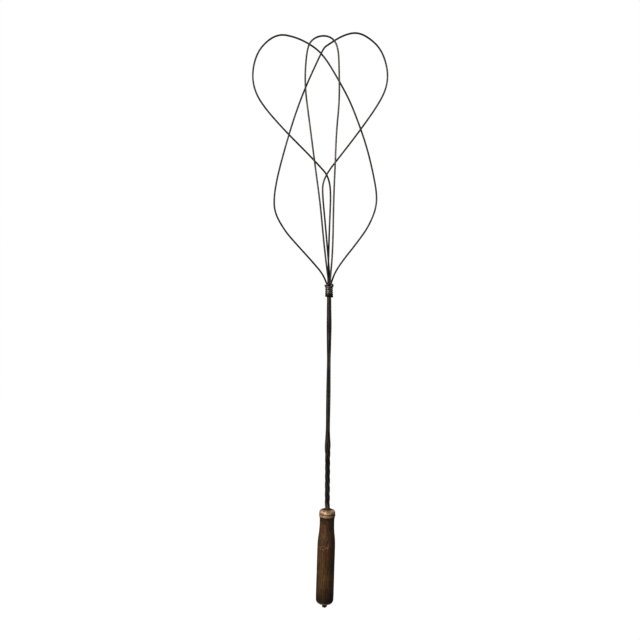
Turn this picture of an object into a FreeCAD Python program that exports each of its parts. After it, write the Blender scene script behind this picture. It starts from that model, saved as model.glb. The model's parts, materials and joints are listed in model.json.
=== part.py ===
"""Hand-made wire carpet beater: three looped wires, bound, twisted and driven through a wooden handle.

Frame: millimetres, +Z up along the beater, +X to the right, the face of the head towards -Y.
The origin is on the handle's axis, at the middle of the straight stretch that the hand holds.
"""
import FreeCAD
import Part
import Sketcher
import math
import os

V = FreeCAD.Vector

DIMENSIONS = [
    # the wire, and how the six legs lie side by side
    ("wire_dia", 2.1, "diameter of the spring-steel wire"),
    ("leg_spacing", 2.2, "distance between neighbouring legs in the bundle"),
    ("layer_spacing", 2.4, "distance of the front and back loops of the head from the shaft's axis"),
    ("middle_layer", -0.15, "the same for the middle loop, a little to the front"),
    ("strand_radius", 2.25, "distance of the outer legs from the strand's axis where it is twisted tight"),
    ("strand_pitch", 56.0, "length of one full turn of the tight twist"),
    ("loose_swell", 0.17, "share by which the bundle swells where the twist begins"),
    ("spread_height", 366.0, "height where the legs leave the binding"),
    ("twist_start", 176.0, "height where the legs begin to change places"),
    ("twist_tight", 147.0, "height below which the strand is twisted tight"),
    ("twist_end", 72.0, "height below which the legs run straight in the handle"),
    ("tang_end", -46.0, "where the five outer legs end, below the butt"),
    ("tang_tip", -47.4, "where the middle leg ends"),
    # the binding at the throat
    ("binding_dia", 2.5, "diameter of the binding wire"),
    ("binding_bottom", 353.1, "height of the lowest turn"),
    ("binding_pitch", 2.55, "rise of one turn"),
    ("binding_turns", 5.0, "full close turns under the loose one"),
    ("binding_clear", 0.06, "gap between the binding and the legs"),
    # the handle, measured from its butt end upwards
    ("handle_lean", 1.78, "degrees that the handle leans from the vertical"),
    ("butt_below", 42.1, "butt end below the origin"),
    ("bore_radius", 3.45, "radius of the hole that the wires are driven through"),
    ("edge_radius", 9.3, "radius where the butt's crown meets the rounded edge"),
    ("edge_length", 2.1, "height of that edge"),
    ("crown_bend", 14.0, "radius of the crown's curve"),
    ("edge_bend", 4.6, "radius of the rounded edge"),
    ("corner_radius", 11.25, "radius of the handle above the rounded edge"),
    ("corner_length", 6.1, "height of that place"),
    ("grip_radius", 11.4, "radius of the straight grip"),
    ("grip_bottom", 11.2, "bottom of the straight grip"),
    ("grip_top", 73.0, "top of the straight grip"),
    ("slope_radius", 10.5, "radius halfway down to the waist"),
    ("slope_length", 88.1, "height of that place"),
    ("slope_bend", 125.0, "radius of the full curve above the grip"),
    ("waist_radius", 9.42, "radius at the narrowest place"),
    ("waist_length", 102.5, "height of the narrowest place"),
    ("waist_bend", 100.0, "radius of the hollow curve below the waist"),
    ("flare_radius", 9.5, "radius of the flare under the ferrule"),
    ("flare_length", 109.6, "height of the flare"),
    ("flare_bend", 65.0, "radius of the hollow curve above the waist"),
    ("shoulder_radius", 9.6, "radius of the shoulder under the ferrule"),
    ("shoulder_length", 112.1, "height of the shoulder"),
    ("tenon_radius", 8.3, "radius of the tenon inside the ferrule"),
    ("tenon_length", 6.4, "height of the tenon above the shoulder"),
    # the ferrule, measured from its lower edge upwards
    ("hem_radius", 10.2, "radius of the lower edge"),
    ("hem_height", 0.7, "height of the plain edge under the bead"),
    ("bead_bend", 3.2, "radius of the bead's curve"),
    ("side_radius", 10.35, "radius of the side above the bead and above the groove"),
    ("bead_height", 3.2, "top of the bead"),
    ("groove_bend", 0.7, "radius of the groove's curve"),
    ("groove_height", 4.3, "top of the groove"),
    ("side_height", 5.4, "top of the straight side"),
    ("rim_radius", 9.35, "radius where the shoulder meets the top"),
    ("rim_height", 8.1, "height of that rim"),
    ("rim_bend", 4.2, "radius of the shoulder's curve"),
    ("dish_radius", 4.7, "radius where the sloping top ends"),
    ("dish_height", 9.6, "height of that place"),
    ("lip_radius", 3.95, "outer radius of the turned-up lip"),
    ("lip_height", 10.5, "height of the lip"),
    ("lip_hole", 3.45, "radius of the hole in the lip"),
    ("lip_root", 8.6, "height where the hole ends inside"),
    ("socket_radius", 8.35, "radius of the room for the tenon"),
    ("socket_depth", 6.5, "height of the room for the tenon"),
]

# Corner points (x, z) of the head's three loops. A wire runs straight from one point towards the next
# and rounds each of them with the largest arc that its two runs allow.
HEART_FRONT = [
    (1.6, 369.3), (-3.2, 381), (-12.5, 392.8), (-39.5, 422.5), (-52, 437), (-65, 459.5), (-66.5, 479.5), (-61.5, 509),
    (-49, 554.5), (-39, 586.5), (-27, 619), (-9.5, 657.5), (-2, 672.5), (2.5, 676), (22, 688.5),
    (40.5, 693), (57, 685), (72, 670), (80, 646), (79.5, 624.5), (70.5, 603.5), (46.5, 569),
    (19.5, 534), (4, 514.5), (-3.3, 500), (-3.9, 485), (-0.2, 446), (3.6, 402), (5.1, 381),
]
HEART_BACK = [
    (7.5, 370.5), (12.2, 384), (22.7, 399.8), (40.5, 422), (55.5, 443), (65, 465.5), (66.5, 484.5), (61, 514.5),
    (53, 547), (41, 581.5), (30, 608.5), (14.5, 636.5), (1.5, 658), (-10, 671.5), (-26.5, 682),
    (-41, 688), (-58, 691.5), (-73.5, 684.5), (-88, 668), (-94.5, 643.5), (-92.5, 621.5), (-81.5, 600),
    (-54, 568.5), (-24.5, 539), (-6.5, 520), (3, 509), (7.2, 490), (5.3, 447), (4, 404), (3.4, 374),
]
CENTRE = [
    (3.5, 376), (1.6, 389.5), (-2, 421), (-5, 453), (-7.3, 476), (-14.5, 529.5), (-21, 580), (-26, 618), (-26, 645),
    (-23, 673.5), (-15.5, 684), (-2, 688), (10.5, 683.5), (16.5, 670.5), (17.5, 646), (18, 604.5),
    (14, 564), (12.5, 523.5), (10.6, 482), (9.6, 425), (8.4, 400), (6.4, 379),
]

# Down the shaft: height, sideways place of its axis, and degrees that the bundle has turned by hand.
SHAFT = [
    (370, 4.65, 5), (362, 4.65, 9), (350, 4.65, 15), (315, 4.7, 33), (271, 4.3, 3), (222, 3.7, 19),
    (184, 3.1, 9), (168, 2.85, 28), (158, 2.8, 63), (150, 2.8, 105),
]

# Places of the six legs in the flat bundle, in leg spacings: x to the right, y to the back.
BUNDLE = {
    "centre_left": (-0.5, -1), "centre_right": (0.5, -1),
    "front_outer": (-0.5, 0), "front_inner": (0.5, 0),
    "back_inner": (-0.5, 1), "back_outer": (0.5, 1),
}
# The same legs once they are twisted tight: five round one, as degrees round the strand.
STRAND = {"front_outer": 180, "centre_left": 252, "centre_right": 324, "back_outer": 36, "back_inner": 108}
CORE = "front_inner"

# Corners of the binding, as shares of the half width and half depth of a turn that lies close. The
# start, the loose top turn and its hooked end also have their height above the lowest corner.
BINDING_TURN = [(1, 1), (-1, 1), (-1, -1), (1, -1)]
BINDING_START = [(1.15, -0.2, -0.3)]
BINDING_END = [
    (1.12, 1.04, 12.85), (-1.3, 1.1, 13.45), (-1.35, -1.12, 13.85),
    (0.62, -1.12, 15.5), (1.2, -1.48, 14.1), (0.8, -1.6, 11.4),
]

STEP_DEGREES = 12.0    # most that the bundle turns between two points of a leg in the shaft
TWIST_DEGREES = 24.0   # the same in the tight twist
LONGEST_RUN = 46.0     # longest straight run of a leg in the shaft
ARC_SHARE = 0.45       # part of the shorter run that an arc takes up
TUBE_TOLERANCE = 0.002 # how far a swept wire's volume may be from its section times its length


def make_sheet(doc):
    """Write the driving dimensions into a spreadsheet and return a function that reads them."""
    sheet = doc.addObject("Spreadsheet::Sheet", "Dimensions")
    for row, (alias, value, meaning) in enumerate(DIMENSIONS, start=1):
        sheet.set("A%d" % row, alias)
        sheet.set("B%d" % row, str(value))
        sheet.set("C%d" % row, meaning)
        sheet.setAlias("B%d" % row, alias)
    doc.recompute()
    return lambda alias: float(getattr(sheet, alias))


def blend(first, second, share):
    return first + (second - first) * share


def rounded_wire(points, radius=None):
    """Straight runs joined by tangent arcs of a radius, or as large as the two runs allow."""
    edges = []
    start = points[0]
    for before, corner, after in zip(points, points[1:], points[2:]):
        to_before = before - corner
        to_after = after - corner
        shorter = min(to_before.Length, to_after.Length)
        to_before.normalize()
        to_after.normalize()
        half_turn = (math.pi - to_before.getAngle(to_after)) / 2
        if half_turn < math.radians(0.05):
            continue
        tangent = ARC_SHARE * shorter
        if radius is not None:
            tangent = min(tangent, radius * math.tan(half_turn))
        bend = tangent / math.tan(half_turn)
        middle = (to_before + to_after).normalize()
        arc_start = corner + to_before * tangent
        arc_end = corner + to_after * tangent
        arc_middle = corner + middle * (bend / math.cos(half_turn) - bend)
        edges.append(Part.makeLine(start, arc_start))
        edges.append(Part.Arc(arc_start, arc_middle, arc_end).toShape())
        start = arc_end
    edges.append(Part.makeLine(start, points[-1]))
    return Part.Wire(edges)


def tube(doc, label, points, diameter_alias, radius=None):
    """Sweep a round section along a rounded route."""
    path = doc.addObject("Part::Feature", label + "_path")
    path.Shape = rounded_wire(points, radius)
    section = doc.addObject("Part::Circle", label + "_section")
    section.setExpression("Radius", "Dimensions.%s / 2" % diameter_alias)
    along = points[1] - points[0]
    section.Placement = FreeCAD.Placement(points[0], FreeCAD.Rotation(V(0, 0, 1), along))
    sweep = doc.addObject("Part::Sweep", label)
    sweep.Sections = [section]
    sweep.Spine = (path, ["Edge%d" % number for number in range(1, len(path.Shape.Edges) + 1)])
    sweep.Solid = True
    sweep.Frenet = False
    return sweep


def shaft_at(read, height):
    """Axis place and turn of the bundle at a height between the binding and the ferrule."""
    if height >= SHAFT[-1][0]:
        for upper, lower in zip(SHAFT, SHAFT[1:]):
            if height >= lower[0]:
                share = (upper[0] - height) / (upper[0] - lower[0])
                return blend(upper[1], lower[1], share), blend(upper[2], lower[2], share)
    top, top_place, top_turn = SHAFT[-1]
    share = (top - height) / (top - read("twist_end"))
    entry = read("twist_end") * math.tan(math.radians(read("handle_lean")))
    return blend(top_place, entry, share), top_turn + 360 * (top - height) / read("strand_pitch")


def leg_point(read, leg, height):
    """Centre of one leg at a height: flat bundle above, five round one below, turned about the axis."""
    place, turn = shaft_at(read, height)
    spacing = read("leg_spacing")
    flat = V(BUNDLE[leg][0] * spacing, BUNDLE[leg][1] * spacing, 0)
    twisted = V(0, 0, 0)
    if leg != CORE:
        angle = math.radians(STRAND[leg])
        twisted = V(math.cos(angle), math.sin(angle), 0) * read("strand_radius")
    share = (read("twist_start") - height) / (read("twist_start") - read("twist_tight"))
    share = min(max(share, 0.0), 1.0)
    swell = 1 + read("loose_swell") * math.sin(math.pi * share)
    offset = (flat * (1 - share) + twisted * share) * swell
    offset = FreeCAD.Rotation(V(0, 0, 1), turn).multVec(offset)
    return V(place + offset.x, offset.y, height)


def shaft_heights(read):
    """Heights of a leg's points, from where it leaves the binding down to the ferrule."""
    heights = [read("spread_height")]
    for upper, lower in zip(SHAFT, SHAFT[1:]):
        pieces = max(abs(lower[2] - upper[2]) / STEP_DEGREES, (upper[0] - lower[0]) / LONGEST_RUN)
        pieces = max(1, math.ceil(pieces))
        for piece in range(1, pieces + 1):
            heights.append(blend(upper[0], lower[0], piece / pieces))
    top = SHAFT[-1][0]
    turned = 360 * (top - read("twist_end")) / read("strand_pitch")
    pieces = math.ceil(turned / TWIST_DEGREES)
    for piece in range(1, pieces + 1):
        heights.append(blend(top, read("twist_end"), piece / pieces))
    return heights


def leg_route(read, leg):
    """Points of one leg, from the binding down through the handle to its end at the butt."""
    points = [leg_point(read, leg, height) for height in shaft_heights(read)]
    last = points[-1]
    end = read("tang_tip") if leg == CORE else read("tang_end")
    lean = math.tan(math.radians(read("handle_lean")))
    points.append(V(last.x - (last.z - end) * lean, last.y, end))
    return points


def loop_route(read, first_leg, head, depth, second_leg):
    """A whole wire: up one leg, round the head, and down the other leg."""
    up = leg_route(read, first_leg)[::-1]
    across = [V(x, depth, z) for x, z in head]
    return up + across + leg_route(read, second_leg)


def binding_route(read):
    """Square turns round the flat bundle, then a loose turn and a short hooked end."""
    spacing = read("leg_spacing")
    stand_off = (read("wire_dia") + read("binding_dia")) / 2 + read("binding_clear")
    rise = read("binding_pitch") / len(BINDING_TURN)
    turns = BINDING_TURN * int(read("binding_turns"))
    close = [(wide, deep, number * rise) for number, (wide, deep) in enumerate(turns)]
    points = []
    for wide, deep, lift in BINDING_START + close + BINDING_END:
        height = read("binding_bottom") + lift
        place, turn = shaft_at(read, height)
        corner = V(wide * (spacing / 2 + stand_off), deep * (spacing + stand_off), 0)
        points.append(V(place, 0, height) + FreeCAD.Rotation(V(0, 0, 1), turn).multVec(corner))
    return points, stand_off


def add_side(sketch, start, end, bend):
    """Add one side of an outline. Returns which end of the new geometry is its start: 1 or 2."""
    if not bend:
        sketch.addGeometry(Part.LineSegment(start, end), False)
        return 1
    chord = end - start
    left = V(-chord.y, chord.x, 0).normalize()
    reach = math.sqrt(bend ** 2 - chord.Length ** 2 / 4)
    centre = (start + end) * 0.5 + left * math.copysign(reach, bend)
    first, last = (start, end) if bend > 0 else (end, start)
    first_angle = math.atan2(first.y - centre.y, first.x - centre.x)
    last_angle = math.atan2(last.y - centre.y, last.x - centre.x)
    if last_angle < first_angle:
        last_angle += 2 * math.pi
    circle = Part.Circle(centre, V(0, 0, 1), abs(bend))
    sketch.addGeometry(Part.ArcOfCircle(circle, first_angle, last_angle), False)
    return 1 if bend > 0 else 2


def turned_body(doc, read, label, corners):
    """Turn a closed outline about the body's Z axis.

    Each corner is (radius, height, bend of the side that follows), as expressions of the sheet's cells.
    The outline runs with the material on its left. A bend of None is a straight side, and one that
    starts with a minus is hollow.
    """
    body = doc.addObject("PartDesign::Body", label)
    sketch = body.newObject("Sketcher::SketchObject", label + "_outline")
    plane = [item for item in body.Origin.OriginFeatures if item.Role == "XZ_Plane"][0]
    sketch.AttachmentSupport = [(plane, "")]
    sketch.MapMode = "FlatFace"
    sheet = doc.getObject("Dimensions")
    places = []
    for radius, height, _ in corners:
        places.append(V(sheet.evalExpression(radius), sheet.evalExpression(height), 0))
    count = len(corners)
    starts = []
    for number, (_, _, bend) in enumerate(corners):
        size = sheet.evalExpression(bend) if bend else 0
        starts.append(add_side(sketch, places[number], places[(number + 1) % count], size))
    for number, (radius, height, bend) in enumerate(corners):
        start = starts[number]
        following = (number + 1) % count
        joint = Sketcher.Constraint("Coincident", number, 3 - start, following, starts[following])
        sketch.addConstraint(joint)
        bind(sketch, ("DistanceX", -1, 1, number, start), places[number].x, "radius_%d" % number, radius)
        bind(sketch, ("DistanceY", -1, 1, number, start), places[number].y, "height_%d" % number, height)
        if bend:
            size = abs(sheet.evalExpression(bend))
            bind(sketch, ("Radius", number), size, "bend_%d" % number, bend.lstrip("-"))
    turning = body.newObject("PartDesign::Revolution", label + "_turning")
    turning.Profile = sketch
    turning.ReferenceAxis = (sketch, ["V_Axis"])
    turning.Angle = 360
    return body


def bind(sketch, kind, value, name, expression):
    """Add a sketch dimension and bind it to the sheet."""
    index = sketch.addConstraint(Sketcher.Constraint(*kind, value))
    sketch.renameConstraint(index, name)
    sketch.setExpression("Constraints." + name, with_sheet(expression))


def with_sheet(expression):
    """Put the sheet's name before each alias of an expression."""
    words = expression.split()
    return " ".join("Dimensions." + word if word[0].isalpha() else word for word in words)


def on_handle_axis(read, along):
    """Placement at a distance along the leaning axis of the handle, measured up from the origin."""
    tilt = FreeCAD.Rotation(V(0, 1, 0), read("handle_lean"))
    return FreeCAD.Placement(tilt.multVec(V(0, 0, along)), tilt)


def make_handle(doc, read):
    handle = turned_body(doc, read, "handle", [
        ("bore_radius", "0", "crown_bend"),
        ("edge_radius", "edge_length", "edge_bend"),
        ("corner_radius", "corner_length", None),
        ("grip_radius", "grip_bottom", None),
        ("grip_radius", "grip_top", "slope_bend"),
        ("slope_radius", "slope_length", "-waist_bend"),
        ("waist_radius", "waist_length", "-flare_bend"),
        ("flare_radius", "flare_length", None),
        ("shoulder_radius", "shoulder_length", None),
        ("tenon_radius", "shoulder_length", None),
        ("tenon_radius", "shoulder_length + tenon_length", None),
        ("bore_radius", "shoulder_length + tenon_length", None),
    ])
    handle.Placement = on_handle_axis(read, -read("butt_below"))
    return handle


def make_ferrule(doc, read):
    ferrule = turned_body(doc, read, "ferrule", [
        ("socket_radius", "0", None),
        ("hem_radius", "0", None),
        ("hem_radius", "hem_height", "bead_bend"),
        ("side_radius", "bead_height", "-groove_bend"),
        ("side_radius", "groove_height", None),
        ("side_radius", "side_height", "rim_bend"),
        ("rim_radius", "rim_height", None),
        ("dish_radius", "dish_height", None),
        ("lip_radius", "lip_height", None),
        ("lip_hole", "lip_height", None),
        ("lip_hole", "lip_root", None),
        ("socket_radius", "socket_depth", None),
    ])
    ferrule.Placement = on_handle_axis(read, read("shoulder_length") - read("butt_below"))
    return ferrule


def make_wires(doc, read):
    layer = read("layer_spacing")
    middle = read("middle_layer")
    loops = [
        ("heart_wire_front", "front_outer", HEART_FRONT, middle, "front_inner"),
        ("heart_wire_back", "back_outer", HEART_BACK, layer, "back_inner"),
        ("centre_wire", "centre_left", CENTRE, -layer, "centre_right"),
    ]
    wires = []
    for label, first_leg, head, depth, second_leg in loops:
        route = loop_route(read, first_leg, head, depth, second_leg)
        wires.append(tube(doc, label, route, "wire_dia"))
    return wires


def make_binding(doc, read):
    route, bend = binding_route(read)
    return tube(doc, "throat_binding", route, "binding_dia", bend)


def check(doc, parts):
    for item in doc.Objects:
        if "Invalid" in item.State or "Error" in item.State:
            raise RuntimeError("%s did not compute: %s" % (item.Label, item.State))
    for part in parts:
        if part.Shape.isNull() or not part.Shape.isValid() or len(part.Shape.Solids) != 1:
            raise RuntimeError("%s is not one valid solid" % part.Label)
        if part.TypeId == "Part::Sweep":
            section = math.pi * float(part.Sections[0].Radius) ** 2
            length = part.Spine[0].Shape.Length
            print("%-18s %7.1f mm of wire" % (part.Label, length))
            if abs(part.Shape.Volume / (section * length) - 1) > TUBE_TOLERANCE:
                raise RuntimeError("%s is not its section times its length" % part.Label)


def main():
    doc = FreeCAD.newDocument("carpet_beater")
    read = make_sheet(doc)
    parts = make_wires(doc, read)
    parts.append(make_binding(doc, read))
    parts.append(make_ferrule(doc, read))
    parts.append(make_handle(doc, read))
    doc.recompute()
    check(doc, parts)
    os.makedirs("parts", exist_ok=True)
    for part in parts:
        part.Shape.exportStep("parts/%s.step" % part.Label)
        print("%-18s %9.1f mm3" % (part.Label, part.Shape.Volume))


main()
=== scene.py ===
"""Looks of the wire carpet beater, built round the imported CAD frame.

Metres, +Z up along the beater, +X to the right, the face of the head towards -Y. Each wire, the
binding, the ferrule and the handle is a fine mesh on the same route or outline as in the CAD.
"""
import bpy
import json
import math
import random
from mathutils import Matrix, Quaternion, Vector, noise


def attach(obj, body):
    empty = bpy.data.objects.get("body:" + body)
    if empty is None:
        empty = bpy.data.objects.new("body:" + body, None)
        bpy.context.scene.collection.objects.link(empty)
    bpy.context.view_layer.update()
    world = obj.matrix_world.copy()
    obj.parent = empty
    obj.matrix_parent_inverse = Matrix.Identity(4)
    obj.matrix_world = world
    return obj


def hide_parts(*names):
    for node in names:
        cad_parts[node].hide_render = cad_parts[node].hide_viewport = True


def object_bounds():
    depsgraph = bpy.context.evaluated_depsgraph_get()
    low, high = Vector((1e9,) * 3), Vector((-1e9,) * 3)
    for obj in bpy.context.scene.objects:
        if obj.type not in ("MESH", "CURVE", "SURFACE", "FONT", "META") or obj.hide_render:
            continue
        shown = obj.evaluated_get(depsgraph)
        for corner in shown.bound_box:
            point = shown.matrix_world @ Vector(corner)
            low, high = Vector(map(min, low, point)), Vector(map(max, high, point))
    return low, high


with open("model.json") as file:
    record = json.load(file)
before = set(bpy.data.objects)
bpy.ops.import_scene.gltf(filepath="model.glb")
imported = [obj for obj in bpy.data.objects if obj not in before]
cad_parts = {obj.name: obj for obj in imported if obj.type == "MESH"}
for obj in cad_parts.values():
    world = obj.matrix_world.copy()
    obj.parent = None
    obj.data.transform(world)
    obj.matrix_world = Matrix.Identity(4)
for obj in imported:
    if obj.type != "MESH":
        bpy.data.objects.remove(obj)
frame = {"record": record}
cad_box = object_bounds()

MM = 0.001
BODY = "root"

# ---------------------------------------------------------------- sizes, in mm as in the CAD

WIRE_RADIUS = 1.05
LEG_SPACING = 2.2         # between neighbouring legs of the flat bundle
LAYER = 2.4               # depth of the front and back loops
MIDDLE_LAYER = -0.15      # depth of the middle loop
STRAND_RADIUS = 2.25      # from the strand's axis to its outer legs
STRAND_PITCH = 56.0       # length of one full turn of the twist
LOOSE_SWELL = 0.17        # share by which the bundle swells where the twist begins
SPREAD_HEIGHT = 366.0     # where the legs leave the binding
TWIST_START = 176.0       # the legs change places between these two heights
TWIST_TIGHT = 147.0
TWIST_END = 72.0          # below it the legs run straight in the handle
TANG_END = -46.0          # ends of the five outer legs
TANG_TIP = -47.4          # end of the core leg

BINDING_RADIUS = 1.25
BINDING_BOTTOM = 353.1
BINDING_PITCH = 2.55      # rise of one turn
BINDING_TURNS = 5
BINDING_CLEAR = 0.06      # gap between the binding and the legs

BUTT_BELOW = 42.1         # the handle's butt end, below the origin
FERRULE_ABOVE = 70.0      # the ferrule's lower edge, above the origin

# Corner points (x, z) of the three loops, the same as the CAD routes.
HEART_FRONT = [
    (1.6, 369.3), (-3.2, 381), (-12.5, 392.8), (-39.5, 422.5), (-52, 437), (-65, 459.5),
    (-66.5, 479.5), (-61.5, 509), (-49, 554.5), (-39, 586.5), (-27, 619), (-9.5, 657.5),
    (-2, 672.5), (2.5, 676), (22, 688.5), (40.5, 693), (57, 685), (72, 670), (80, 646),
    (79.5, 624.5), (70.5, 603.5), (46.5, 569), (19.5, 534), (4, 514.5), (-3.3, 500), (-3.9, 485),
    (-0.2, 446), (3.6, 402), (5.1, 381),
]
HEART_BACK = [
    (7.5, 370.5), (12.2, 384), (22.7, 399.8), (40.5, 422), (55.5, 443), (65, 465.5),
    (66.5, 484.5), (61, 514.5), (53, 547), (41, 581.5), (30, 608.5), (14.5, 636.5), (1.5, 658),
    (-10, 671.5), (-26.5, 682), (-41, 688), (-58, 691.5), (-73.5, 684.5), (-88, 668), (-94.5, 643.5),
    (-92.5, 621.5), (-81.5, 600), (-54, 568.5), (-24.5, 539), (-6.5, 520), (3, 509), (7.2, 490),
    (5.3, 447), (4, 404), (3.4, 374),
]
CENTRE = [
    (3.5, 376), (1.6, 389.5), (-2, 421), (-5, 453), (-7.3, 476), (-14.5, 529.5), (-21, 580),
    (-26, 618), (-26, 645), (-23, 673.5), (-15.5, 684), (-2, 688), (10.5, 683.5), (16.5, 670.5),
    (17.5, 646), (18, 604.5), (14, 564), (12.5, 523.5), (10.6, 482), (9.6, 425), (8.4, 400), (6.4, 379),
]
# Down the shaft: height, sideways place of its axis, and degrees that the bundle has turned.
SHAFT = [
    (370, 4.65, 5), (362, 4.65, 9), (350, 4.65, 15), (315, 4.7, 33), (271, 4.3, 3), (222, 3.7, 19),
    (184, 3.1, 9), (168, 2.85, 28), (158, 2.8, 63), (150, 2.8, 105),
]
# Places of the six legs in the flat bundle, in leg spacings, and once twisted, in degrees.
BUNDLE = {
    "centre_left": (-0.5, -1), "centre_right": (0.5, -1),
    "front_outer": (-0.5, 0), "front_inner": (0.5, 0),
    "back_inner": (-0.5, 1), "back_outer": (0.5, 1),
}
STRAND = {"front_outer": 180, "centre_left": 252, "centre_right": 324, "back_outer": 36, "back_inner": 108}
CORE = "front_inner"

# Corners of the binding, as shares of a close turn's half width and half depth. The start, the loose
# top turn and its hooked end also have their height above the lowest corner.
BINDING_TURN = [(1, 1), (-1, 1), (-1, -1), (1, -1)]
BINDING_START = [(1.15, -0.2, -0.3)]
BINDING_END = [
    (1.12, 1.04, 12.85), (-1.3, 1.1, 13.45), (-1.35, -1.12, 13.85),
    (0.62, -1.12, 15.5), (1.2, -1.48, 14.1), (0.8, -1.6, 11.4),
]

# Closed outlines: radius, height, bend of the side that follows, and whether that side is shown.
HANDLE_OUTLINE = [
    (3.45, 0, 14, True), (9.3, 2.1, 4.6, True), (11.25, 6.1, 0, True), (11.4, 11.2, 0, True),
    (11.4, 73, 125, True), (10.5, 88.1, -100, True), (9.42, 102.5, -65, True), (9.5, 109.6, 0, True),
    (9.6, 112.1, 0, False), (8.3, 112.1, 0, False), (8.3, 118.5, 0, False), (3.45, 118.5, 0, False),
]
FERRULE_OUTLINE = [
    (8.35, 0, 0, True), (10.2, 0, 0, True), (10.2, 0.7, 3.2, True), (10.35, 3.2, -0.7, True),
    (10.35, 4.3, 0, True), (10.35, 5.4, 4.2, True), (9.35, 8.1, 0, True), (4.7, 9.6, 0, True),
    (3.95, 10.5, 0, True), (3.45, 10.5, 0, True), (3.45, 8.6, 0, False), (8.35, 6.5, 0, False),
]

STEP_DEGREES = 12.0       # most that the bundle turns between two points of a leg in the shaft
TWIST_DEGREES = 24.0      # the same in the tight twist
LONGEST_RUN = 46.0        # longest straight run of a leg in the shaft
ARC_SHARE = 0.45          # most of a run that an arc of the binding takes up

RING_STEP = 1.1           # distance between two rings of a wire's mesh
BINDING_STEP = 0.35       # the same for the binding
LATHE_STEP = 0.4          # the same for a turned piece
WIRE_SIDES = 16
LATHE_SEGMENTS = 208
HIDDEN_PIECES = 3         # rings along a side of an outline that is not shown

WIRE_WOBBLE = 0.02        # share of its radius by which a wire is thinner in places
END_RINGS = [(0.45, 0.22), (0.8, 0.12)]   # rings of a rounded wire end: shares of the radius, out and on
END_CENTRE = 0.26         # how far its middle stands out, as a share of the radius

# The tang's end is filed to a round point.
POINT_RADIUS = 3.35
POINT_LENGTH = 3.4
BLUNTNESS = 0.01          # least square of the point's share of its radius, so that the tip stays blunt


# ---------------------------------------------------------------- camera and studio

VIEW_HEIGHT = 0.823       # what the picture spans from top to bottom, at the object
VIEW_DISTANCE = 0.8
SENSOR_MM = 36.0
VIEW_GAMMA = 0.75         # keeps thin dark wires dark against the white backdrop
STUDIO_RADIUS = 8.0
FLOOR_HEIGHT = -0.30
STUDIO_SIDES = 64
DOME_RINGS = 16
DOME_HOLE = 0.001         # radius left at the dome's top, as a share of the whole
LIT_PLACE = (0, 0, 0.3)   # what the lamps are aimed at
# Name, place, width, power and colour of each lamp.
LAMPS = [
    ("key_light", (-1.5, -1.3, 1.3), 1.5, 100, (1.0, 0.97, 0.93)),
    ("front_light", (-0.4, -1.9, 1.5), 0.7, 15, (1.0, 0.98, 0.95)),
    ("fill_light", (1.6, -1.6, 0.4), 1.4, 11, (1.0, 0.98, 0.95)),
    ("edge_light", (1.4, 1.5, 0.7), 1.0, 11, (1.0, 0.95, 0.88)),
]
AIR_COLOUR = (1.0, 0.98, 0.95)
AIR_STRENGTH = 0.20


def make_camera():
    low, high = cad_box
    data = bpy.data.cameras.new("camera")
    data.sensor_width = SENSOR_MM
    data.lens = SENSOR_MM * VIEW_DISTANCE / VIEW_HEIGHT
    camera = bpy.data.objects.new("camera", data)
    camera.location = ((low.x + high.x) / 2, -VIEW_DISTANCE, (low.z + high.z) / 2)
    camera.rotation_euler = (math.radians(90), 0, 0)
    bpy.context.scene.collection.objects.link(camera)
    bpy.context.scene.camera = camera


def softbox(name, place, size, power, colour):
    data = bpy.data.lights.new(name, "AREA")
    data.shape = "DISK"
    data.size = size
    data.energy = power
    data.color = colour
    lamp = bpy.data.objects.new(name, data)
    lamp.location = place
    lamp.rotation_mode = "QUATERNION"
    lamp.rotation_quaternion = (Vector(LIT_PLACE) - Vector(place)).to_track_quat("-Z", "Y")
    bpy.context.scene.collection.objects.link(lamp)


def make_studio():
    """A white floor and backdrop that don't light the object, and soft light from the upper left."""
    scene = bpy.context.scene
    scene.view_settings.view_transform = "Standard"
    scene.view_settings.gamma = VIEW_GAMMA
    world = bpy.data.worlds.new("studio_air")
    world.use_nodes = True
    background = world.node_tree.nodes["Background"]
    background.inputs["Color"].default_value = (*AIR_COLOUR, 1)
    background.inputs["Strength"].default_value = AIR_STRENGTH
    scene.world = world
    for lamp in LAMPS:
        softbox(*lamp)
    paper = white_paper()
    for piece in (studio_floor(), studio_backdrop()):
        piece.visible_diffuse = False
        piece.visible_glossy = False
        piece.visible_shadow = False
        piece.data.materials.append(paper)


def white_paper():
    """Paper that is white by itself, with a trace of fibre."""
    paint = Paint("white_paper")
    fibre = paint.noise(paint.place(), 40, 3, 0.5)
    shade = paint.ramp(fibre, [(0.3, (0.99, 0.99, 0.99)), (0.7, (1.0, 1.0, 1.0))])
    paint.set({"Base Color": (0.02, 0.02, 0.02), "Roughness": 0.9, "Specular IOR Level": 0.0,
               "Emission Color": shade, "Emission Strength": 1.0})
    return paint.material


def mesh_object(name, points, faces):
    mesh = bpy.data.meshes.new(name)
    mesh.from_pydata([tuple(point) for point in points], [], faces)
    mesh.validate()
    mesh.update()
    made = bpy.data.objects.new(name, mesh)
    bpy.context.scene.collection.objects.link(made)
    for polygon in mesh.polygons:
        polygon.use_smooth = True
    return made


def studio_ring(reach, height):
    """Points on a level circle round the studio's middle."""
    turns = [2 * math.pi * n / STUDIO_SIDES for n in range(STUDIO_SIDES)]
    return [(reach * math.cos(turn), reach * math.sin(turn), height) for turn in turns]


def studio_floor():
    points = studio_ring(STUDIO_RADIUS, FLOOR_HEIGHT)
    return mesh_object("studio_floor", points, [list(range(STUDIO_SIDES))])


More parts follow.
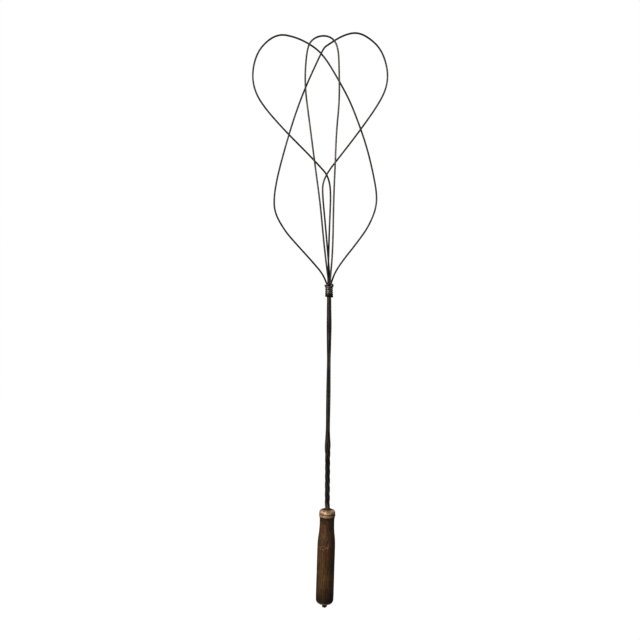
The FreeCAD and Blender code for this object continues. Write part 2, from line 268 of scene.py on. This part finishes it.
def studio_backdrop():
    points, faces = [], []
    for row in range(DOME_RINGS + 1):
        lift = math.pi / 2 * row / DOME_RINGS
        reach = STUDIO_RADIUS * max(math.cos(lift), DOME_HOLE)
        points += studio_ring(reach, FLOOR_HEIGHT + STUDIO_RADIUS * math.sin(lift))
    for row in range(DOME_RINGS):
        a, b = row * STUDIO_SIDES, (row + 1) * STUDIO_SIDES
        for n in range(STUDIO_SIDES):
            following = (n + 1) % STUDIO_SIDES
            faces.append((a + n, b + n, b + following, a + following))
    return mesh_object("studio_backdrop", points, faces)


# ---------------------------------------------------------------- materials


def srgb(*channels):
    """A colour given as 0 to 255 on screen, as linear light."""
    linear = []
    for channel in channels:
        share = channel / 255
        linear.append(share / 12.92 if share <= 0.04045 else ((share + 0.055) / 1.055) ** 2.4)
    return tuple(linear)


class Paint:
    """Builds one node material."""

    def __init__(self, name):
        self.material = bpy.data.materials.new(name)
        self.material.use_nodes = True
        self.tree = self.material.node_tree
        self.tree.nodes.clear()
        self.shader = self.node("BsdfPrincipled")
        self.node("OutputMaterial", {"Surface": self.shader.outputs["BSDF"]})

    def feed(self, socket, value):
        if isinstance(value, bpy.types.NodeSocket):
            self.tree.links.new(value, socket)
        elif isinstance(value, tuple) and len(value) == 3 and socket.type == "RGBA":
            socket.default_value = (*value, 1)
        else:
            socket.default_value = value

    def node(self, kind, inputs=None, **settings):
        node = self.tree.nodes.new("ShaderNode" + kind)
        for name, value in settings.items():
            setattr(node, name, value)
        for name, value in (inputs or {}).items():
            self.feed(node.inputs[name], value)
        return node

    def set(self, values):
        for name, value in values.items():
            self.feed(self.shader.inputs[name], value)

    def place(self):
        return self.node("TexCoord").outputs["Object"]

    def attribute(self, name):
        return self.node("Attribute", attribute_name=name).outputs["Vector"]

    def stretch(self, vector, x, y, z):
        return self.node("Mapping", {"Vector": vector, "Scale": (x, y, z)}).outputs["Vector"]

    def axis(self, vector, name):
        return self.node("SeparateXYZ", {"Vector": vector}).outputs[name]

    def noise(self, vector, scale, detail, roughness, distortion=0.0, output="Fac"):
        values = {"Vector": vector, "Scale": scale, "Detail": detail, "Roughness": roughness,
                  "Distortion": distortion}
        return self.node("TexNoise", values).outputs[output]

    def maths(self, operation, first, second=0.0):
        return self.node("Math", {0: first, 1: second}, operation=operation).outputs[0]

    def plus(self, first, second):
        return self.maths("ADD", first, second)

    def times(self, first, second):
        return self.maths("MULTIPLY", first, second)

    def most(self, first, second):
        return self.maths("MAXIMUM", first, second)

    def vectors(self, operation, first, second=(0, 0, 0)):
        return self.node("VectorMath", {0: first, 1: second}, operation=operation).outputs

    def band(self, value, low, high):
        """0 below low, 1 above high, and smooth between them. The other way round if high is lower."""
        swapped = high < low
        values = {"Value": value, "From Min": min(low, high), "From Max": max(low, high),
                  "To Min": float(swapped), "To Max": float(not swapped)}
        return self.node("MapRange", values, interpolation_type="SMOOTHSTEP").outputs["Result"]

    def ramp(self, value, stops):
        node = self.node("ValToRGB", {"Fac": value})
        while len(node.color_ramp.elements) < len(stops):
            node.color_ramp.elements.new(0.5)
        for element, (position, colour) in zip(node.color_ramp.elements, stops):
            element.position = position
            element.color = (*colour, 1)
        return node.outputs["Color"]

    def mix(self, share, first, second):
        node = self.node("Mix", data_type="RGBA")
        for number, value in ((0, share), (6, first), (7, second)):
            self.feed(node.inputs[number], value)
        return node.outputs[2]

    def stain(self, colour, mask, share, stained):
        """Bring a colour near to another one where the mask is 1."""
        return self.mix(self.times(mask, share), colour, stained)

    def bump(self, height, strength, distance, under=None):
        values = {"Height": height, "Strength": strength, "Distance": distance}
        if under is not None:
            values["Normal"] = under
        return self.node("Bump", values).outputs["Normal"]


def wire_paint(name, dark, light, rough, rust_share):
    """Dark oxidised spring steel: faint die streaks, rubbed places, spots of rust and a sooty tip."""
    paint = Paint(name)
    place = paint.place()
    height = paint.axis(place, "Z")
    streaks = paint.noise(paint.stretch(paint.attribute("drawn"), 25, 2600, 2600), 1.0, 4, 0.55)
    patches = paint.noise(place, 45, 3, 0.55)
    grit = paint.noise(place, 900, 3, 0.6)
    specks = paint.noise(place, 240, 5, 0.7)
    speckled = paint.band(specks, 0.64 - rust_share, 0.74 - rust_share)
    spots = paint.times(speckled, paint.band(patches, 0.3, 0.6))
    base_rust = paint.times(paint.band(height, 0.092, 0.082), paint.band(height, 0.0, 0.01))
    loose = paint.times(paint.band(height, 0.140, 0.150), paint.band(height, 0.178, 0.168))
    loose = paint.times(loose, paint.band(grit, 0.35, 0.6))
    rusty = paint.most(spots, base_rust)
    darkened_ends = paint.band(height, -0.0385, -0.0405)

    colour = paint.mix(paint.band(patches, 0.35, 0.68), dark, light)
    colour = paint.stain(colour, paint.band(streaks, 0.5, 0.75), 0.4, light)
    colour = paint.stain(colour, spots, 0.7, srgb(66, 44, 32))
    colour = paint.stain(colour, base_rust, 0.75, srgb(104, 80, 68))
    colour = paint.stain(colour, loose, 0.4, srgb(118, 104, 98))
    colour = paint.mix(darkened_ends, colour, srgb(18, 15, 13))
    rough = paint.plus(rough, paint.times(rusty, 0.25))
    rough = paint.plus(rough, paint.times(streaks, 0.12))
    rough = paint.most(rough, paint.times(darkened_ends, 0.8))
    metal = paint.maths("SUBTRACT", 0.6, paint.times(paint.most(rusty, darkened_ends), 0.5))
    pits = paint.bump(grit, 0.3, 0.00005)
    lines = paint.bump(streaks, 0.3, 0.00004, pits)
    paint.set({"Base Color": colour, "Metallic": metal, "Roughness": rough, "Normal": lines,
               "Specular IOR Level": 0.3})
    return paint.material


def binding_paint():
    """Dull annealed wire: smooth grey with faint drawing lines, darker in its first turn, and painted
    shade on its hooked tail.
    """
    paint = Paint("binding_wire")
    drawn = paint.attribute("drawn")
    along = paint.axis(drawn, "X")
    lines = paint.noise(paint.stretch(drawn, 40, 2600, 2600), 1.0, 3, 0.5)
    patches = paint.noise(paint.place(), 160, 4, 0.6)
    grit = paint.noise(paint.place(), 1200, 3, 0.6)
    # This mask paints the first turn darker and paints shade onto the hooked tail: a painted shade.
    darkened_ends = paint.most(paint.band(along, 0.032, 0.026), paint.band(along, 0.160, 0.166))

    colour = paint.mix(paint.band(lines, 0.35, 0.7), srgb(104, 103, 101), srgb(132, 131, 128))
    colour = paint.stain(colour, paint.band(patches, 0.5, 0.7), 0.5, srgb(70, 68, 66))
    # painted shade on the hooked tail, and a darker first turn
    colour = paint.stain(colour, darkened_ends, 0.85, srgb(26, 25, 24))
    rough = paint.plus(0.22, paint.times(patches, 0.18))
    rough = paint.plus(rough, paint.times(darkened_ends, 0.2))
    texture = paint.bump(grit, 0.15, 0.00002, paint.bump(lines, 0.15, 0.00002))
    paint.set({"Base Color": colour, "Metallic": 0.75, "Roughness": rough, "Normal": texture,
               "Specular IOR Level": 0.3})
    return paint.material


def brass_paint():
    """Tarnished brass: brown in the groove and the hollows, paler where hands and blows rubbed it."""
    paint = Paint("aged_brass")
    turned = paint.attribute("turned")
    height = paint.axis(turned, "Z")
    cloud = paint.noise(turned, 170, 5, 0.65)
    fine = paint.noise(turned, 800, 4, 0.65)
    scratch = paint.noise(paint.stretch(turned, 420, 420, 4200), 1.0, 3, 0.6)
    groove = paint.times(paint.band(height, 0.0030, 0.0036), paint.band(height, 0.0047, 0.0041))
    lip = paint.band(height, 0.0087, 0.0096)
    hem = paint.band(height, 0.0012, 0.0003)
    dirt = paint.most(paint.most(groove, hem), lip)
    tarnish = paint.plus(paint.times(cloud, 0.65), paint.times(fine, 0.35))
    tarnish = paint.plus(tarnish, paint.times(dirt, 0.26))
    bead = paint.times(paint.band(height, 0.0040, 0.0030), paint.band(tarnish, 0.9, 0.5))

    colour = paint.ramp(tarnish, [
        (0.34, srgb(204, 188, 172)), (0.47, srgb(178, 158, 140)), (0.58, srgb(136, 115, 96)),
        (0.72, srgb(80, 62, 46)), (0.9, srgb(34, 24, 16)),
    ])
    colour = paint.stain(colour, bead, 0.75, srgb(138, 108, 74))
    rough = paint.plus(0.50, paint.times(tarnish, 0.4))
    rough = paint.plus(rough, paint.times(scratch, 0.1))
    metal = paint.maths("SUBTRACT", 0.8, paint.times(bead, 0.45))
    metal = paint.times(paint.band(tarnish, 1.0, 0.6), metal)
    pits = paint.bump(fine, 0.6, 0.00012)
    lines = paint.bump(scratch, 0.35, 0.00004, pits)
    paint.set({"Base Color": colour, "Metallic": metal, "Roughness": rough, "Normal": lines})
    return paint.material


# Curved scratches on the handle, in metres up from its butt: the centre and radius of a sphere that
# cuts the wood along the scratch, and whether its upper (1) or its lower (-1) part shows.
SCRATCHES = [
    ((-0.006, -0.009, 0.0885), 0.0145, -1), ((-0.005, -0.010, 0.0425), 0.0036, 1),
    ((0.004, -0.010, 0.0310), 0.0062, 1), ((-0.002, -0.009, 0.0700), 0.0080, 1),
]


def curved_scratch(paint, place, centre, radius, side):
    """A thin arc where a sphere's upper or lower part meets the wood."""
    away = paint.vectors("SUBTRACT", place, centre)["Vector"]
    distance = paint.vectors("LENGTH", away)["Value"]
    off = paint.maths("ABSOLUTE", paint.maths("SUBTRACT", distance, radius))
    part = paint.times(paint.axis(away, "Z"), side / radius)
    return paint.times(paint.band(off, 0.0006, 0.0001), paint.band(part, 0.5, 0.75))


def growth_rings(paint, turned):
    """Wavy growth rings round a pith that lies outside the handle."""
    warp = paint.noise(paint.stretch(turned, 60, 60, 14), 1.0, 2, 0.5)
    across = paint.vectors("SUBTRACT", paint.stretch(turned, 1, 1, 0.09), (-0.016, 0.022, 0))["Vector"]
    distance = paint.plus(paint.vectors("LENGTH", across)["Value"], paint.times(warp, 0.009))
    ring = paint.maths("FRACT", paint.times(distance, 560))
    return paint.band(paint.maths("ABSOLUTE", paint.maths("SUBTRACT", ring, 0.5)), 0.1, 0.5)


def scratch_marks(paint, turned):
    """All the curved scratches, made a little wavy."""
    sway = paint.noise(turned, 130, 3, 0.5, output="Color")
    wavy = paint.vectors("ADD", turned, paint.stretch(sway, 0.0022, 0.0022, 0.0022))["Vector"]
    marks = 0.0
    for centre, radius, side in SCRATCHES:
        marks = paint.most(marks, curved_scratch(paint, wavy, centre, radius, side))
    return marks


def wood_paint():
    """Dark stained hardwood: growth rings, pores, dirt, scratches and worn varnish, a painted shadow under
    the ferrule and a painted highlight on the butt's rounded edge.
    """
    paint = Paint("dark_wood")
    turned = paint.attribute("turned")
    height = paint.axis(turned, "Z")
    pores = paint.noise(paint.stretch(turned, 2400, 2400, 110), 1.0, 3, 0.6)
    streaks = paint.noise(paint.stretch(turned, 1300, 1300, 70), 1.0, 4, 0.62)
    blotch = paint.noise(paint.stretch(turned, 150, 150, 75), 1.0, 5, 0.62)
    olive = paint.noise(paint.stretch(turned, 90, 90, 50), 1.7, 3, 0.6)
    mottle = paint.noise(paint.stretch(turned, 420, 420, 210), 1.0, 4, 0.65, 0.6)
    red = paint.noise(paint.stretch(turned, 130, 130, 75), 1.3, 3, 0.6)
    rubbed = paint.noise(paint.stretch(turned, 700, 700, 260), 1.0, 5, 0.7, 0.4)
    upper = paint.times(paint.band(height, 0.050, 0.068), paint.band(height, 0.104, 0.094))
    reddish = paint.times(paint.band(red, 0.44, 0.58), paint.plus(0.12, paint.times(upper, 0.5)))
    marks = paint.times(scratch_marks(paint, turned), paint.band(mottle, 0.42, 0.54))
    # These ends are darker towards the butt, and just under the ferrule they carry a painted shadow.
    ends = paint.most(paint.band(height, 0.026, 0.007), paint.band(height, 0.103, 0.112))
    ends = paint.times(ends, paint.band(blotch, 0.2, 0.5))
    # This edge band is rubbed wear on the butt's rounded edge, and also a painted highlight where the lamp
    # catches that edge.
    edge = paint.times(paint.band(height, 0.0014, 0.0024), paint.band(height, 0.0046, 0.0034))
    edge = paint.times(edge, paint.band(mottle, 0.25, 0.45))

    colour = paint.mix(growth_rings(paint, turned), srgb(89, 66, 35), srgb(59, 40, 20))
    colour = paint.stain(colour, paint.band(olive, 0.46, 0.60), 0.6, srgb(72, 60, 30))
    colour = paint.stain(colour, paint.band(blotch, 0.45, 0.62), 0.8, srgb(42, 27, 12))
    colour = paint.mix(reddish, colour, srgb(84, 44, 28))
    colour = paint.stain(colour, paint.band(mottle, 0.5, 0.7), 0.5, srgb(34, 19, 9))
    colour = paint.stain(colour, paint.band(streaks, 0.54, 0.68), 0.45, srgb(122, 98, 62))
    colour = paint.stain(colour, paint.band(rubbed, 0.58, 0.72), 0.45, srgb(128, 108, 76))
    colour = paint.stain(colour, paint.band(pores, 0.55, 0.66), 0.65, srgb(22, 12, 6))
    colour = paint.stain(colour, marks, 0.6, srgb(148, 126, 96))
    # painted shadow under the ferrule, and darker wood towards the butt
    colour = paint.stain(colour, ends, 0.8, srgb(30, 17, 8))
    # rubbed wear and a painted highlight on the butt's rounded edge
    colour = paint.stain(colour, edge, 0.9, srgb(176, 152, 122))
    rough = paint.plus(0.36, paint.times(mottle, 0.35))
    grain = paint.bump(pores, 0.6, 0.00014)
    grain = paint.bump(mottle, 0.4, 0.0003, grain)
    grain = paint.bump(marks, 0.6, 0.0002, grain)
    paint.set({"Base Color": colour, "Roughness": rough, "Normal": grain, "Specular IOR Level": 0.4})
    return paint.material


# ---------------------------------------------------------------- wires


def blend(first, second, share):
    return first + (second - first) * share


def handle_axis():
    """Direction up the leaning handle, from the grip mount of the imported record."""
    grip = [mount for mount in frame["record"]["mounts"] if mount["name"] == "grip"][0]
    return -Vector(grip["axis"]).normalized()


AXIS = handle_axis()


def shaft_at(height):
    """Sideways place of the bundle's axis, and its turn in degrees."""
    if height >= SHAFT[-1][0]:
        for upper, lower in zip(SHAFT, SHAFT[1:]):
            if height >= lower[0]:
                share = (upper[0] - height) / (upper[0] - lower[0])
                return blend(upper[1], lower[1], share), blend(upper[2], lower[2], share)
    top, top_place, top_turn = SHAFT[-1]
    share = (top - height) / (top - TWIST_END)
    entry = TWIST_END * AXIS.x / AXIS.z
    return blend(top_place, entry, share), top_turn + 360 * (top - height) / STRAND_PITCH


def bundle_spot(height, x, y):
    """A spot x and y away from the bundle's axis, turned with the bundle."""
    place, turn = shaft_at(height)
    cos, sin = math.cos(math.radians(turn)), math.sin(math.radians(turn))
    return Vector((place + x * cos - y * sin, x * sin + y * cos, height))


def leg_point(leg, height):
    """Centre of one leg at a height: flat bundle above, five round one below."""
    flat = Vector((BUNDLE[leg][0], BUNDLE[leg][1])) * LEG_SPACING
    twisted = Vector((0, 0))
    if leg != CORE:
        angle = math.radians(STRAND[leg])
        twisted = Vector((math.cos(angle), math.sin(angle))) * STRAND_RADIUS
    share = min(max((TWIST_START - height) / (TWIST_START - TWIST_TIGHT), 0), 1)
    swell = 1 + LOOSE_SWELL * math.sin(math.pi * share)
    x, y = flat.lerp(twisted, share) * swell
    return bundle_spot(height, x, y)


def shaft_heights():
    """Heights of a leg's points, closer together where the bundle turns faster."""
    heights = [SPREAD_HEIGHT]
    for upper, lower in zip(SHAFT, SHAFT[1:]):
        pieces = max(abs(lower[2] - upper[2]) / STEP_DEGREES, (upper[0] - lower[0]) / LONGEST_RUN)
        pieces = max(1, math.ceil(pieces))
        heights += [blend(upper[0], lower[0], piece / pieces) for piece in range(1, pieces + 1)]
    top = SHAFT[-1][0]
    pieces = math.ceil(360 * (top - TWIST_END) / STRAND_PITCH / TWIST_DEGREES)
    heights += [blend(top, TWIST_END, piece / pieces) for piece in range(1, pieces + 1)]
    return heights


def leg_route(leg):
    """Points of one leg, from the binding down through the handle to its end."""
    points = [leg_point(leg, height) for height in shaft_heights()]
    last = points[-1]
    end = TANG_TIP if leg == CORE else TANG_END
    points.append(last - AXIS * ((last.z - end) / AXIS.z))
    return points


def smooth_line(points, step):
    """Points about a step apart on the quadratic B-spline of some control points."""
    middles = [(first + second) / 2 for first, second in zip(points, points[1:])]
    middles[0], middles[-1] = points[0], points[-1]
    line = [middles[0]]
    for start, corner, end in zip(middles, points[1:], middles[1:]):
        length = (corner - start).length + (end - corner).length
        pieces = max(2, math.ceil(length / step))
        for piece in range(1, pieces + 1):
            t = piece / pieces
            line.append(start * (1 - t) ** 2 + corner * (2 * t * (1 - t)) + end * t ** 2)
    return line


def filed(spot):
    """Where a spot on the tang ends up when its end is filed round."""
    along = spot.dot(AXIS)
    above_tip = along - TANG_TIP / AXIS.z
    if above_tip > POINT_LENGTH:
        return spot
    share = 1 - max(above_tip, 0) / POINT_LENGTH
    allowed = POINT_RADIUS * math.sqrt(max(1 - share * share, BLUNTNESS))
    outward = spot - AXIS * along
    if above_tip < 0:
        along -= above_tip
    if outward.length > allowed:
        outward *= allowed / outward.length
    return AXIS * along + outward


def worn(depth, spot):
    """Between nothing and a depth, changing smoothly from spot to spot."""
    return depth * (0.5 + 0.5 * noise.noise(spot))


def wire_stations(line):
    """Centre, direction, share of the radius and push along the wire of every ring, ends rounded."""
    tangents = []
    for number in range(len(line)):
        before, after = line[max(number - 1, 0)], line[min(number + 1, len(line) - 1)]
        tangents.append((after - before).normalized())
    stations = [(line[0], tangents[0], share, -push) for share, push in END_RINGS]
    stations += [(point, tangent, 1.0, 0.0) for point, tangent in zip(line, tangents)]
    stations += [(line[-1], tangents[-1], share, push) for share, push in reversed(END_RINGS)]
    return stations


def vector_attribute(made, name, vectors):
    attribute = made.data.attributes.new(name, "FLOAT_VECTOR", "POINT")
    attribute.data.foreach_set("vector", [value for vector in vectors for value in vector])


def ring_faces(row, next_row, sides):
    """Faces between two closed rings of points, given by their numbers."""
    a, b = row * sides, next_row * sides
    faces = []
    for n in range(sides):
        following = (n + 1) % sides
        faces.append((a + n, a + following, b + following, b + n))
    return faces


def tube(name, line, radius):
    """A round wire as a mesh, with a drawn attribute: along the wire, and across it in two ways."""
    stations = wire_stations(line)
    side = stations[0][1].orthogonal().normalized()
    points, drawn, faces = [], [], []
    along = 0.0
    previous = None
    for point, tangent, share, push in stations:
        if previous is not None:
            side = previous[1].rotation_difference(tangent) @ side
            along += (point - previous[0]).length
        side = (side - tangent * side.dot(tangent)).normalized()
        across = tangent.cross(side)
        for n in range(WIRE_SIDES):
            angle = 2 * math.pi * n / WIRE_SIDES
            cos, sin = math.cos(angle), math.sin(angle)
            spot = Vector((along * 0.08, cos * 1.3, sin * 1.3 + radius * 7))
            outward = (side * cos + across * sin) * (radius * share * (1 - worn(WIRE_WOBBLE, spot)))
            points.append(filed(point + tangent * push * radius + outward) * MM)
            drawn.append(Vector((along, cos * radius, sin * radius)) * MM)
        previous = (point, tangent)
    last = len(stations) - 1
    for row in range(last):
        faces += ring_faces(row, row + 1, WIRE_SIDES)
    for row, push, turn in ((0, -END_CENTRE, -1), (last, END_CENTRE, 1)):
        point, tangent = stations[row][0], stations[row][1]
        centre = len(points)
        points.append(filed(point + tangent * push * radius) * MM)
        drawn.append(drawn[row * WIRE_SIDES])
        for n in range(WIRE_SIDES):
            edge = (row * WIRE_SIDES + n, row * WIRE_SIDES + (n + 1) % WIRE_SIDES)
            faces.append((centre, *edge[::turn]))
    made = mesh_object(name, points, faces)
    vector_attribute(made, "drawn", drawn)
    return made


def loop_line(first_leg, head, depth, second_leg):
    """Centre line of a whole wire: up one leg, round the head, and down the other leg."""
    up = leg_route(first_leg)[::-1]
    across = [Vector((x, depth, z)) for x, z in head]
    return smooth_line(up + across + leg_route(second_leg), RING_STEP)


def finish_piece(piece, node, material):
    """Give a piece its material, hang it on the body and hide the CAD part that it stands for."""
    piece.data.materials.append(material)
    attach(piece, BODY)
    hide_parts(node)


def make_wires():
    dark = wire_paint("dark_wire", srgb(42, 41, 40), srgb(62, 61, 60), 0.36, 0.0)
    worn = wire_paint("worn_wire", srgb(54, 52, 51), srgb(76, 74, 72), 0.40, 0.02)
    loops = [
        ("heart_wire_front", "front_outer", HEART_FRONT, MIDDLE_LAYER, "front_inner", "dark_wire", dark),
        ("heart_wire_back", "back_outer", HEART_BACK, LAYER, "back_inner", "dark_wire", dark),
        ("centre_wire", "centre_left", CENTRE, -LAYER, "centre_right", "worn_wire", worn),
    ]
    for node, first_leg, head, depth, second_leg, slot, material in loops:
        line = loop_line(first_leg, head, depth, second_leg)
        piece = tube("bent_" + node, line, WIRE_RADIUS)
        finish_piece(piece, node, material)


def straight_line(start, end, step):
    """Points about a step apart on a straight run, without its start."""
    pieces = max(1, math.ceil((end - start).length / step))
    return [start.lerp(end, piece / pieces) for piece in range(1, pieces + 1)]


def rounded_line(points, radius, step):
    """Points about a step apart on straight runs joined by tangent arcs."""
    line = [points[0]]
    for before, corner, after in zip(points, points[1:], points[2:]):
        to_before, to_after = before - corner, after - corner
        half_turn = (math.pi - to_before.angle(to_after)) / 2
        shorter = min(to_before.length, to_after.length)
        tangent = min(ARC_SHARE * shorter, radius * math.tan(half_turn))
        bend = tangent / math.tan(half_turn)
        start = corner + to_before.normalized() * tangent
        inward = (to_before.normalized() + to_after.normalized()).normalized()
        centre = corner + inward * (bend / math.cos(half_turn))
        line += straight_line(line[-1], start, step)
        spoke = start - centre
        turning = spoke.cross(corner - centre)
        pieces = max(3, math.ceil(2 * half_turn * bend / step))
        for piece in range(1, pieces + 1):
            line.append(centre + Quaternion(turning, 2 * half_turn * piece / pieces) @ spoke)
    return line + straight_line(line[-1], points[-1], step)


def make_binding():
    """Square turns pulled tight round the legs, then the loose turn and its hooked end."""
    stand_off = WIRE_RADIUS + BINDING_RADIUS + BINDING_CLEAR
    rise = BINDING_PITCH / len(BINDING_TURN)
    turns = BINDING_TURN * BINDING_TURNS
    close = [(wide, deep, number * rise) for number, (wide, deep) in enumerate(turns)]
    corners = []
    for wide, deep, lift in BINDING_START + close + BINDING_END:
        x, y = wide * (LEG_SPACING / 2 + stand_off), deep * (LEG_SPACING + stand_off)
        corners.append(bundle_spot(BINDING_BOTTOM + lift, x, y))
    line = rounded_line(corners, stand_off, BINDING_STEP)
    piece = tube("wound_binding", line, BINDING_RADIUS)
    finish_piece(piece, "throat_binding", binding_paint())


# ---------------------------------------------------------------- turned pieces


def side_points(start, end, bend, pieces):
    """Points from a corner up to the next, on an arc if the side is bent. Hollow if bend is negative."""
    if not bend:
        return [start.lerp(end, piece / pieces) for piece in range(pieces)]
    chord = end - start
    left = Vector((-chord.y, chord.x)).normalized()
    reach = math.sqrt(bend ** 2 - chord.length ** 2 / 4)
    centre = (start + end) / 2 + left * math.copysign(reach, bend)
    first = start - centre
    sweep = first.angle_signed(end - centre)
    points = []
    for piece in range(pieces):
        turn = -sweep * piece / pieces
        cos, sin = math.cos(turn), math.sin(turn)
        points.append(centre + Vector((first.x * cos - first.y * sin, first.x * sin + first.y * cos)))
    return points


def outline_points(outline):
    """Points round a closed outline, each with the way out of the material and if it is shown."""
    corners = [Vector((radius, height)) for radius, height, _, _ in outline]
    points = []
    for number, (_, _, bend, shown) in enumerate(outline):
        start, end = corners[number], corners[(number + 1) % len(corners)]
        pieces = max(2, math.ceil((end - start).length / LATHE_STEP)) if shown else HIDDEN_PIECES
        points += [(point, shown) for point in side_points(start, end, bend, pieces)]
    ways = []
    for number, (point, shown) in enumerate(points):
        before, after = points[number - 1][0], points[(number + 1) % len(points)][0]
        run = after - before
        ways.append((point, Vector((run.y, -run.x)).normalized(), shown))
    return ways


def turned_piece(name, outline, above, wear):
    """Turn an outline about the handle's axis. wear gives how far each spot is worn inwards."""
    ways = outline_points(outline)
    right = AXIS.cross(Vector((0, -1, 0))).normalized()
    back = AXIS.cross(right)
    points, turned, faces = [], [], []
    for point, outward, shown in ways:
        for n in range(LATHE_SEGMENTS):
            angle = 2 * math.pi * n / LATHE_SEGMENTS
            cos, sin = math.cos(angle), math.sin(angle)
            depth = wear(Vector((point.x * cos, point.x * sin, point.y))) if shown else 0.0
            radius, height = point - outward * depth
            spot = right * (radius * cos) + back * (radius * sin) + AXIS * (height + above)
            points.append(spot * MM)
            turned.append(Vector((radius * cos, radius * sin, height)) * MM)
    for row in range(len(ways)):
        faces += ring_faces(row, (row + 1) % len(ways), LATHE_SEGMENTS)
    made = mesh_object(name, points, faces)
    vector_attribute(made, "turned", turned)
    return made


def dented(spot, dents):
    """How deep the dents are at a spot. Each has a centre, a size and a depth."""
    depth = 0.0
    for centre, size, deep in dents:
        gap = (spot - centre).length / size
        if gap < 1:
            depth += deep * (1 - gap * gap) ** 2
    return depth


def round_spot(radius, angle, height):
    return Vector((radius * math.cos(angle), radius * math.sin(angle), height))


def make_handle():
    """The handle: slowly uneven, with fine turning marks, and dented by use."""
    chance = random.Random(12)
    dents = []
    for _ in range(46):
        height = chance.uniform(3, 106)
        angle = chance.uniform(0, 2 * math.pi)
        radius = 11.2 if height < 75 else 9.6
        size, deep = chance.uniform(1.2, 4.0), chance.uniform(0.04, 0.28)
        dents.append((round_spot(radius, angle, height), size, deep))

    def wear(spot):
        wander = 2 * noise.noise(Vector((0, 0, spot.z * 0.1)))
        turning_marks = 0.025 * (1 + math.sin(spot.z * 2.1 + wander))
        fibres = worn(0.05, Vector((spot.x * 1.4, spot.y * 1.4, spot.z * 0.35)))
        return worn(0.10, spot * 0.06) + turning_marks + fibres + dented(spot, dents)

    piece = turned_piece("turned_handle", HANDLE_OUTLINE, -BUTT_BELOW, wear)
    finish_piece(piece, "handle", wood_paint())


def make_ferrule():
    """The ferrule: hammered a little uneven, and dented on its top and sides."""
    chance = random.Random(5)
    dents = []
    for _ in range(16):
        angle = chance.uniform(0, 2 * math.pi)
        radius = chance.uniform(5.5, 9.8)
        height = 8.8 if radius < 8.6 else chance.uniform(1, 7)
        size, deep = chance.uniform(1.0, 2.6), chance.uniform(0.05, 0.3)
        dents.append((round_spot(radius, angle, height), size, deep))

    def wear(spot):
        return worn(0.12, spot * 0.35) + worn(0.05, spot * 1.1) + dented(spot, dents)

    piece = turned_piece("brass_ferrule", FERRULE_OUTLINE, FERRULE_ABOVE, wear)
    finish_piece(piece, "ferrule", brass_paint())


make_camera()
make_studio()
make_wires()
make_binding()
make_ferrule()
make_handle()
